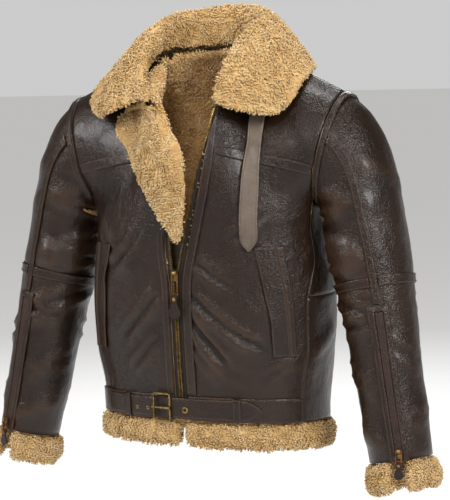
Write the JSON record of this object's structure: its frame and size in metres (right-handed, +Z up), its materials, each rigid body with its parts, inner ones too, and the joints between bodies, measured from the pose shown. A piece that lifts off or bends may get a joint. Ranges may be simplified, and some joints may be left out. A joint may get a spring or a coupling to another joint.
{
  "type": "sheepskin flying jacket",
  "caption": "Worn-shape leather jacket lined with fleece: hollow body and sleeves, turned-back lapel, wide fleece collar, belted hem and zips whose pulls swing.",
  "frame": {"origin": "midway between the shoulders, at the height where the wearer's shoulders carry the jacket", "axes": "+Z up; -Y is the jacket's front; +X is the wearer's left side"},
  "size_m": [0.8462, 0.3275, 0.8196],
  "materials": {
    "leather": "glossy dark brown grained leather",
    "strip": "smooth dark brown leather",
    "strap": "worn grey-brown leather",
    "gusset": "reddish brown leather",
    "fleece": "curly honey-coloured fleece",
    "tape": "woven zip tape",
    "brass": "aged brass"
  },
  "bodies": {
    "jacket": {"front_left": "leather", "front_yoke_left": "leather", "front_right": "leather", "front_yoke_right": "leather", "side_lower_left": "leather", "side_upper_left": "leather", "side_lower_right": "leather", "side_upper_right": "leather", "back": "leather", "sleeve_upper_outer_left": "leather", "sleeve_lower_outer_left": "leather", "sleeve_upper_under_left": "leather", "sleeve_lower_under_left": "leather", "sleeve_upper_outer_right": "leather", "sleeve_lower_outer_right": "leather", "sleeve_upper_under_right": "leather", "sleeve_lower_under_right": "leather", "zip_tape_left": "tape", "fly_strip_left": "strip", "zip_tape_right": "tape", "fly_strip_right": "strip", "wind_flap": "strip", "yoke_strip_left": "strip", "yoke_strip_right": "strip", "armhole_strip_left": "strip", "sleeve_strip_left": "strip", "elbow_strip_left": "strip", "sleeve_zip_left": "gusset", "sleeve_binding_left": "strip", "armhole_strip_right": "strip", "sleeve_strip_right": "strip", "elbow_strip_right": "strip", "sleeve_zip_right": "gusset", "sleeve_binding_right": "strip", "pocket_left": "strip", "pocket_right": "strip", "belt_band_left": "strip", "belt_band_right": "strip", "belt_strap": "strip", "belt_tail": "strip", "belt_keeper_left": "strip", "belt_keeper_right": "strip", "buckle_frame": "brass", "buckle_prong": "brass", "collar_strap": "strap", "collar": "fleece", "lapel": "fleece", "hem_fleece": "fleece", "cuff_fleece_left": "fleece", "cuff_fleece_right": "fleece", "zip_slider": "brass", "cuff_left_slider": "brass", "cuff_right_slider": "brass"},
    "zip_pull_body": {"zip_pull": "brass", "zip_pull_tab": "strip"},
    "cuff_left_pull_body": {"cuff_left_pull": "brass", "cuff_left_pull_tab": "strip"},
    "cuff_right_pull_body": {"cuff_right_pull": "brass", "cuff_right_pull_tab": "strip"}
  },
  "joints": [
    {"name": "front_zip_pull_swing", "type": "hinge", "parent": "jacket", "child": "zip_pull_body", "pos_m": [0.00201, -0.15464, -0.32542], "axis": [-1, 0, 0], "range_deg": [0, 100]},
    {"name": "left_cuff_pull_swing", "type": "hinge", "parent": "jacket", "child": "cuff_left_pull_body", "pos_m": [0.36916, -0.11274, -0.60473], "axis": [-0.9544, -0.2984, 0], "range_deg": [0, 100]},
    {"name": "right_cuff_pull_swing", "type": "hinge", "parent": "jacket", "child": "cuff_right_pull_body", "pos_m": [-0.36916, -0.11274, -0.60473], "axis": [-0.9544, 0.2984, 0], "range_deg": [0, 100]}
  ]
}
